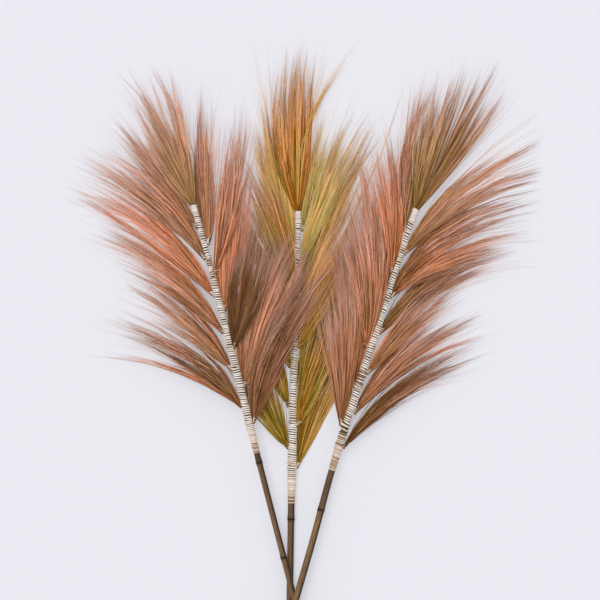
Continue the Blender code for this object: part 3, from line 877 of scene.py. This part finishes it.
def add_knot(reed, spray, bunch, side, lane):
    """A few turns round the root of a bunch, two slanting turns round the cane, and a tail."""
    root, ahead = root_axis(spray, bunch, side, lane)
    tone = reed.draw.uniform(*KNOT_TONES)

    def root_line(s):
        return root + ahead * np.asarray(s)[:, None]

    def root_radius(s):
        return KNOT_RADIUS - KNOT_TAPER * s

    def same_tone(turns, places):
        return tone + 0.15 * turns

    phase = reed.draw.uniform(*KNOT_STARTS)
    reed.wind(root_line, root_radius, *KNOT_REACH, lambda s: KNOT_PITCH, *KNOT_REED, same_tone, phase)

    def cane_line(s):
        return spine(spray, bunch.y + np.asarray(s))

    def over(s):
        return binding_radius(spray, bunch.y + s) + REED_PROUD - SLANT_SINK

    for start in (phase, phase + SLANT_APART):
        reed.wind(cane_line, over, *SLANT_REACH, lambda s: SLANT_PITCH, *SLANT_REED, same_tone, start)
    tail = reed.draw.uniform(*TAIL_LENGTHS)
    turn = math.radians(reed.draw.uniform(*TAIL_ANGLES)) * side
    run = np.linspace(0, 1, TAIL_POINTS)[:, None]
    out = np.array([math.sin(turn), math.cos(turn), 0.0])
    up = np.array([0, 0, 1.0])
    curl = ahead * TAIL_CURL * np.sin(2.5 * run)
    centres = root + out * run * tail + curl + up * (TAIL_LIFT + TAIL_RISE * run**2)
    widths = np.linspace(*TAIL_WIDTHS, TAIL_POINTS)
    reed.add(centres, np.tile(up, (TAIL_POINTS, 1)), widths, TAIL_THICKNESS, tone)


# Cane


def turned(name, profile, steps):
    """A closed piece turned about Z from a profile of (radius, height) in metres, axis to axis."""
    deselect()
    bpy.ops.mesh.primitive_plane_add(size=0.001)
    piece = bpy.context.object
    piece.name = name
    bpy.ops.object.mode_set(mode="EDIT")
    bpy.ops.mesh.select_all(action="SELECT")
    bpy.ops.mesh.merge(type="CENTER")
    bpy.ops.transform.translate(value=(profile[0][0], 0, profile[0][1]))
    for (radius, height), (next_radius, next_height) in zip(profile, profile[1:]):
        step = (next_radius - radius, 0, next_height - height)
        bpy.ops.mesh.extrude_region_move(TRANSFORM_OT_translate={"value": step})
    bpy.ops.mesh.select_all(action="SELECT")
    bpy.ops.mesh.spin(steps=steps, angle=2 * math.pi, center=(0, 0, 0), axis=(0, 0, 1))
    bpy.ops.mesh.select_all(action="SELECT")
    bpy.ops.mesh.remove_doubles(threshold=1e-6)
    bpy.ops.mesh.normals_make_consistent(inside=False)
    bpy.ops.object.mode_set(mode="OBJECT")
    bpy.ops.object.shade_smooth_by_angle(angle=math.radians(SHARP_EDGE))
    return piece


def lay_along(piece, points):
    """Bends a straight piece, modelled up Z from the origin, along a line of frame points."""
    curve = bpy.data.curves.new(piece.name + "_path", "CURVE")
    curve.dimensions = "3D"
    curve.twist_mode = "Z_UP"
    spline = curve.splines.new("POLY")
    spline.points.add(len(points) - 1)
    for point, place in zip(spline.points, points):
        point.co = (*place, 1)
    path = bpy.data.objects.new(curve.name, curve)
    bpy.context.scene.collection.objects.link(path)
    make_active(piece)
    bend = piece.modifiers.new("along", "CURVE")
    bend.object = path
    bend.deform_axis = "POS_Z"
    bpy.ops.object.modifier_apply(modifier=bend.name)
    for vertex in piece.data.vertices:
        vertex.co.z = max(vertex.co.z, 0.0)  # its lowest nodes lie flat on the floor
    bpy.data.objects.remove(path)
    bpy.data.curves.remove(curve)


def cane_profile(spray, lengths, heights):
    """Radius and height up the cane, from the hollow of its cut end to its thin top."""
    top = spray.head - CANE_STOP
    rings = [(y, cane_radius(spray, y)) for y in np.linspace(CUT_END + CUT_LENGTH, top, CANE_RINGS)]
    rings = [ring for ring in rings if all(abs(ring[0] - node) > NODE_CLEAR for node in spray.nodes)]
    for node in spray.nodes:
        rings += [(node + step, cane_radius(spray, node) * share) for step, share in NODE_SHAPE]
    rings.sort()
    outline = [(spray.radius * share, CUT_END + height) for share, height in CUT_SHAPE]
    outline += [(radius, y) for y, radius in rings]
    outline.append((0.0, top))
    return [(radius * MM, float(np.interp(y, heights, lengths)) * MM) for radius, y in outline]


def cane_piece(spray):
    """One ringed cane with a hollow cut end, turned straight and bent along its spray."""
    heights = np.arange(CUT_END, spray.head + PATH_STEP, PATH_STEP)
    line = spine(spray, heights)
    lengths = lengths_along(line)
    profile = cane_profile(spray, lengths, heights)
    piece = turned(spray.name + "_cane", profile, CANE_STEPS)
    co = np.array([vertex.co for vertex in piece.data.vertices]) / MM
    y = np.interp(co[:, 2], lengths, heights)
    radius = np.hypot(co[:, 0], co[:, 1])
    near = np.min([np.abs(y - node) for node in spray.nodes], axis=0)
    grain = co * (1 / spray.radius, 1 / spray.radius, GRAIN_ALONG)
    hollow = (y < CUT_END + HOLLOW_DEPTH) & (radius < spray.radius * HOLLOW_SHARE)
    shoot = smoothstep((y - max(spray.nodes)) / SHOOT_EDGE) * spray.shoot
    side = PAINTED_SIDE_SHADE * smoothstep(-co[:, 0] / spray.radius * PAINTED_SIDE_SHADE_EDGE)  # painted shade down its right side, as if that side were turned from the light
    # the dark mask holds the node stains, the darker stretch above the top node and the painted shade
    # down one side
    dark = np.max([np.exp(-((near / NODE_STAIN) ** 2)), shoot, side], axis=0)
    warm = np.full(len(y), spray.warm)
    add_values(piece.data, {"ring": dark, "cut": hollow.astype(float), "warm": warm, "grain": grain})
    lay_along(piece, to_frame(line))
    return piece


# Finishes


class Finish:
    """A procedural material, with a short call for each kind of node that it uses."""

    def __init__(self, name, roughness, **sockets):
        self.material = bpy.data.materials.new(name)
        self.material.use_nodes = True
        self.nodes = self.material.node_tree.nodes
        self.links = self.material.node_tree.links
        self.shader = self.nodes["Principled BSDF"]
        self.shader.inputs["Roughness"].default_value = roughness
        for socket, number in sockets.items():
            self.shader.inputs[socket.replace("_", " ")].default_value = number

    def put(self, socket, source):
        if isinstance(source, bpy.types.NodeSocket):
            self.links.new(source, socket)
        elif hasattr(source, "__len__"):
            socket.default_value = (*source[:3], 1)
        else:
            socket.default_value = source

    def add(self, kind, output, inputs, **settings):
        """Adds a node with its settings, puts a number, a colour or a link in each input."""
        node = self.nodes.new("ShaderNode" + kind)
        for key, setting in settings.items():
            setattr(node, key, setting)
        for key, source in inputs.items():
            self.put(node.inputs[key], source)
        return node.outputs[output]

    def attribute(self, name, output="Fac"):
        return self.add("Attribute", output, {}, attribute_name=name)

    def place(self):
        return self.add("TexCoord", "Object", {})

    def noise(self, vector, scale, detail=3.0):
        return self.add("TexNoise", "Fac", {"Vector": vector, "Scale": scale, "Detail": detail})

    def math(self, operation, first, second=0.0, clamp=False):
        return self.add("Math", 0, {0: first, 1: second}, operation=operation, use_clamp=clamp)

    def spread(self, value, low, high, to_low, to_high):
        ends = {"From Min": low, "From Max": high, "To Min": to_low, "To Max": to_high}
        return self.add("MapRange", 0, {"Value": value, **ends})

    def mix(self, share, first, second):
        return self.add("Mix", 2, {"Factor": share, 6: first, 7: second}, data_type="RGBA")

    def ramp(self, share, stops):
        node = self.nodes.new("ShaderNodeValToRGB")
        self.links.new(share, node.inputs["Fac"])
        elements = node.color_ramp.elements
        while len(elements) < len(stops):
            elements.new(0.5)
        for element, (place, colour) in zip(elements, stops):
            element.position = place
            element.color = (*colour[:3], 1)
        return node.outputs["Color"]

    def brighten(self, colour, factor, saturation=1.0):
        inputs = {"Color": colour, "Value": factor, "Saturation": saturation}
        return self.add("HueSaturation", "Color", inputs)

    def bump(self, height, strength, distance):
        inputs = {"Strength": strength, "Distance": distance, "Height": height}
        self.links.new(self.add("Bump", "Normal", inputs), self.shader.inputs["Normal"])

    def paint(self, colour):
        self.links.new(colour, self.shader.inputs["Base Color"])
        return self.material


def grass_finish(name, dyes, faded, richness):
    """Dyed dry grass: dye by bunch and lock, redder and then faded tips, painted shade at the roots,
    uneven tone.

    Towards the tips the tones come nearer to each other, and darker stalks have stronger dyes.
    """
    finish = Finish(name, 0.55, Specular_IOR_Level=0.16)
    along = finish.attribute("along")
    patches = finish.spread(finish.noise(finish.place(), 22.0), 0.3, 0.7, -0.08, 0.08)
    redder = finish.spread(along, 0.2, 0.95, -0.12, 0.22)
    dye = finish.math("ADD", finish.attribute("dye"), patches)
    dye = finish.math("ADD", dye, redder, clamp=True)
    stops = [(i / (len(dyes) - 1), colour) for i, colour in enumerate(dyes)]
    colour = finish.ramp(dye, stops)
    colour = finish.mix(finish.spread(along, 0.5, 0.98, 0.0, 0.86), colour, faded)
    # painted shade: stalks are darker towards their roots, where the bunch is thickest
    shade = finish.spread(along, 0.0, 0.42, 0.54, 1.05)
    tone = finish.spread(finish.attribute("tone"), 0.0, 1.0, 0.36, 1.74)
    missing = finish.math("SUBTRACT", TIP_TONE, tone)
    evening = finish.math("MULTIPLY", missing, finish.spread(along, 0.45, 0.95, 0.0, 0.75))
    tone = finish.math("ADD", tone, evening)
    streak = finish.spread(finish.noise(finish.place(), 420.0, 2.0), 0.3, 0.7, 0.85, 1.15)
    value = finish.math("MULTIPLY", finish.math("MULTIPLY", shade, tone), streak)
    finish.bump(finish.noise(finish.place(), 900.0, 1.0), 0.25, 0.0004)
    richer = finish.spread(value, 0.35, 1.5, *richness)
    return finish.paint(finish.brighten(colour, value, richer))


def reed_finish(settings):
    """Split reed: cream to tan by turn, with fibres along it and painted shade along the edges of each
    turn.
    """
    finish = Finish("split_reed", 0.6, Specular_IOR_Level=0.35)
    fibre = finish.noise(finish.attribute("fibre", "Vector"), 3.0, 4.0)
    uneven = finish.spread(fibre, 0.3, 0.7, -0.18, 0.18)
    turn = finish.math("ADD", finish.attribute("turn"), uneven, clamp=True)
    colour = finish.ramp(turn, [(0.0, settings.cream), (0.5, settings.tan), (1.0, settings.umber)])
    edge = finish.math("ABSOLUTE", finish.attribute("edge"))
    # painted shade: each turn darkens towards its edges, where it meets the next
    shade = finish.spread(edge, 0.6, 1.0, 1.0, 0.76)
    finish.bump(fibre, 0.4, 0.0006)
    return finish.paint(finish.brighten(colour, shade))


def cane_finish(settings):
    """Dark cane bark: streaks along it, dark rings at its nodes, painted shade down one side, and a
    pale cut end.
    """
    finish = Finish("cane_bark", 0.5, Specular_IOR_Level=0.25)
    grain = finish.attribute("grain", "Vector")
    streak = finish.noise(grain, 4.5, 5.0)
    blotch = finish.noise(finish.place(), 16.0, 3.0)
    streaked = finish.spread(streak, 0.35, 0.7, 0.1, 1.0)
    share = finish.math("MULTIPLY", streaked, finish.spread(blotch, 0.3, 0.7, 0.3, 1.0))
    golden = finish.spread(finish.attribute("warm"), 0.0, 1.0, 0.42, 1.05)
    share = finish.math("MULTIPLY", share, golden)
    colour = finish.mix(share, settings.bark, settings.streak)
    # the ring colour also lays the painted shade down one side of the cane
    colour = finish.mix(finish.attribute("ring"), colour, settings.ring)
    colour = finish.mix(finish.attribute("cut"), colour, settings.pith)
    finish.bump(streak, 0.35, 0.0008)
    return finish.paint(colour)


def floor_finish(settings):
    """Plain pale floor, lit a little from below, so that shadows on it stay soft."""
    finish = Finish("pale_floor", 0.9, Specular_IOR_Level=0.1)
    tint = finish.noise(finish.place(), 1.5, 2.0)
    colour = finish.brighten(settings.floor, finish.spread(tint, 0.0, 1.0, 0.99, 1.01))
    finish.links.new(colour, finish.shader.inputs["Emission Color"])
    finish.shader.inputs["Emission Strength"].default_value = settings.glow
    return finish.paint(finish.brighten(colour, 1 - settings.glow))


def hand_over(piece, node, material):
    """The piece takes its finish, rides on the body and stands for its node."""
    piece.data.materials.clear()
    piece.data.materials.append(material)
    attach(piece, "root")
    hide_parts(node)


# Operators


class RAYUNG_OT_grass(bpy.types.Operator):
    """Adds the grass bunches of one spray, stalk by stalk"""

    bl_idname = "rayung.grass"
    bl_label = "Grass bunches"

    spray: StringProperty(name="Spray", description="left, middle or right", default="left")

    def execute(self, context):
        settings = context.scene.rayung_grass
        spray = SPRAYS[self.spray]
        outer = [settings.olive, settings.brown, settings.mauve, settings.rust, settings.coral]
        inner = [settings.moss, settings.lime, settings.gold, settings.amber, settings.sienna]
        is_middle = spray.name == "middle"
        faded = settings.straw if is_middle else settings.blush
        dyes = inner if is_middle else outer
        material = grass_finish(spray.slot + "_stalks", dyes, faded, spray.rich)
        pattern = stalk_pattern()
        for name, bunch, side, lane in bunches_of(spray):
            piece = grass_piece(name, spray, bunch, side, lane, settings, pattern)
            hand_over(piece, name, material)
        return {"FINISHED"}


class RAYUNG_OT_reed(bpy.types.Operator):
    """Winds the reed bindings round the canes, with their knots"""

    bl_idname = "rayung.reed"
    bl_label = "Reed bindings"

    def execute(self, context):
        settings = context.scene.rayung_reed
        material = reed_finish(settings)
        for spray in SPRAYS.values():
            hand_over(reed_piece(spray, settings), spray.name + "_binding", material)
        return {"FINISHED"}


class RAYUNG_OT_canes(bpy.types.Operator):
    """Turns the ringed canes and lays them along their sprays"""

    bl_idname = "rayung.canes"
    bl_label = "Cane stems"

    def execute(self, context):
        material = cane_finish(context.scene.rayung_cane)
        for spray in SPRAYS.values():
            hand_over(cane_piece(spray), spray.name + "_stem", material)
        return {"FINISHED"}


class RAYUNG_OT_stage(bpy.types.Operator):
    """Sets the pale floor, the soft light and the camera that looks down"""

    bl_idname = "rayung.stage"
    bl_label = "Stage"

    def execute(self, context):
        settings = context.scene.rayung_stage
        deselect()
        bpy.ops.mesh.primitive_plane_add(size=FLOOR_SIZE)
        floor = context.object
        floor.name = "floor"
        floor.data.materials.append(floor_finish(settings))
        self.add_light(context)
        self.add_camera(context, settings)
        context.scene.view_settings.view_transform = "Standard"
        return {"FINISHED"}

    def add_light(self, context):
        world = bpy.data.worlds.new("studio")
        world.use_nodes = True
        context.scene.world = world
        background = world.node_tree.nodes["Background"]
        background.inputs["Color"].default_value = SKY
        background.inputs["Strength"].default_value = SKY_STRENGTH
        bpy.ops.object.light_add(type="SUN", location=(-1, 1, 2))
        lamp = context.object
        lamp.name = "softbox"
        lamp.data.energy = LAMP_STRENGTH
        lamp.data.angle = math.radians(LAMP_ANGLE)
        lamp.rotation_euler = (*map(math.radians, LAMP_LEAN), 0)

    def add_camera(self, context, settings):
        x = (settings.picture_x - BUNDLE_MIDDLE[0]) * MM
        y = (settings.picture_y - BUNDLE_MIDDLE[1]) * MM
        bpy.ops.object.camera_add(location=(x, y, settings.camera_height))
        camera = context.object
        camera.rotation_euler = (0, 0, 0)
        camera.data.sensor_width = SENSOR
        camera.data.lens = SENSOR * settings.camera_height / settings.picture_width
        context.scene.camera = camera


class RAYUNG_PT_panel(bpy.types.Panel):
    bl_idname = "RAYUNG_PT_panel"
    bl_label = "Rayung grass"
    bl_space_type = "VIEW_3D"
    bl_region_type = "UI"
    bl_category = "Rayung grass"

    def draw(self, context):
        layout = self.layout
        for name in SPRAYS:
            layout.operator("rayung.grass", text=name + " grass").spray = name
        for operator in ("rayung.reed", "rayung.canes", "rayung.stage"):
            layout.operator(operator)
        for group in ("rayung_grass", "rayung_reed", "rayung_cane", "rayung_stage"):
            settings = getattr(context.scene, group)
            for key in settings.__annotations__:
                layout.prop(settings, key)


GROUPS = {
    "rayung_grass": GrassSettings,
    "rayung_reed": ReedSettings,
    "rayung_cane": CaneSettings,
    "rayung_stage": StageSettings,
}
CLASSES = (RAYUNG_OT_grass, RAYUNG_OT_reed, RAYUNG_OT_canes, RAYUNG_OT_stage, RAYUNG_PT_panel)


def register():
    for name, group in GROUPS.items():
        bpy.utils.register_class(group)
        setattr(bpy.types.Scene, name, PointerProperty(type=group))
    for each in CLASSES:
        bpy.utils.register_class(each)


def unregister():
    for each in reversed(CLASSES):
        bpy.utils.unregister_class(each)
    for name, group in GROUPS.items():
        delattr(bpy.types.Scene, name)
        bpy.utils.unregister_class(group)


def main():
    register()
    bpy.ops.rayung.stage()
    bpy.ops.rayung.canes()
    bpy.ops.rayung.reed()
    for name in SPRAYS:
        bpy.ops.rayung.grass(spray=name)


if __name__ == "__main__":
    main()
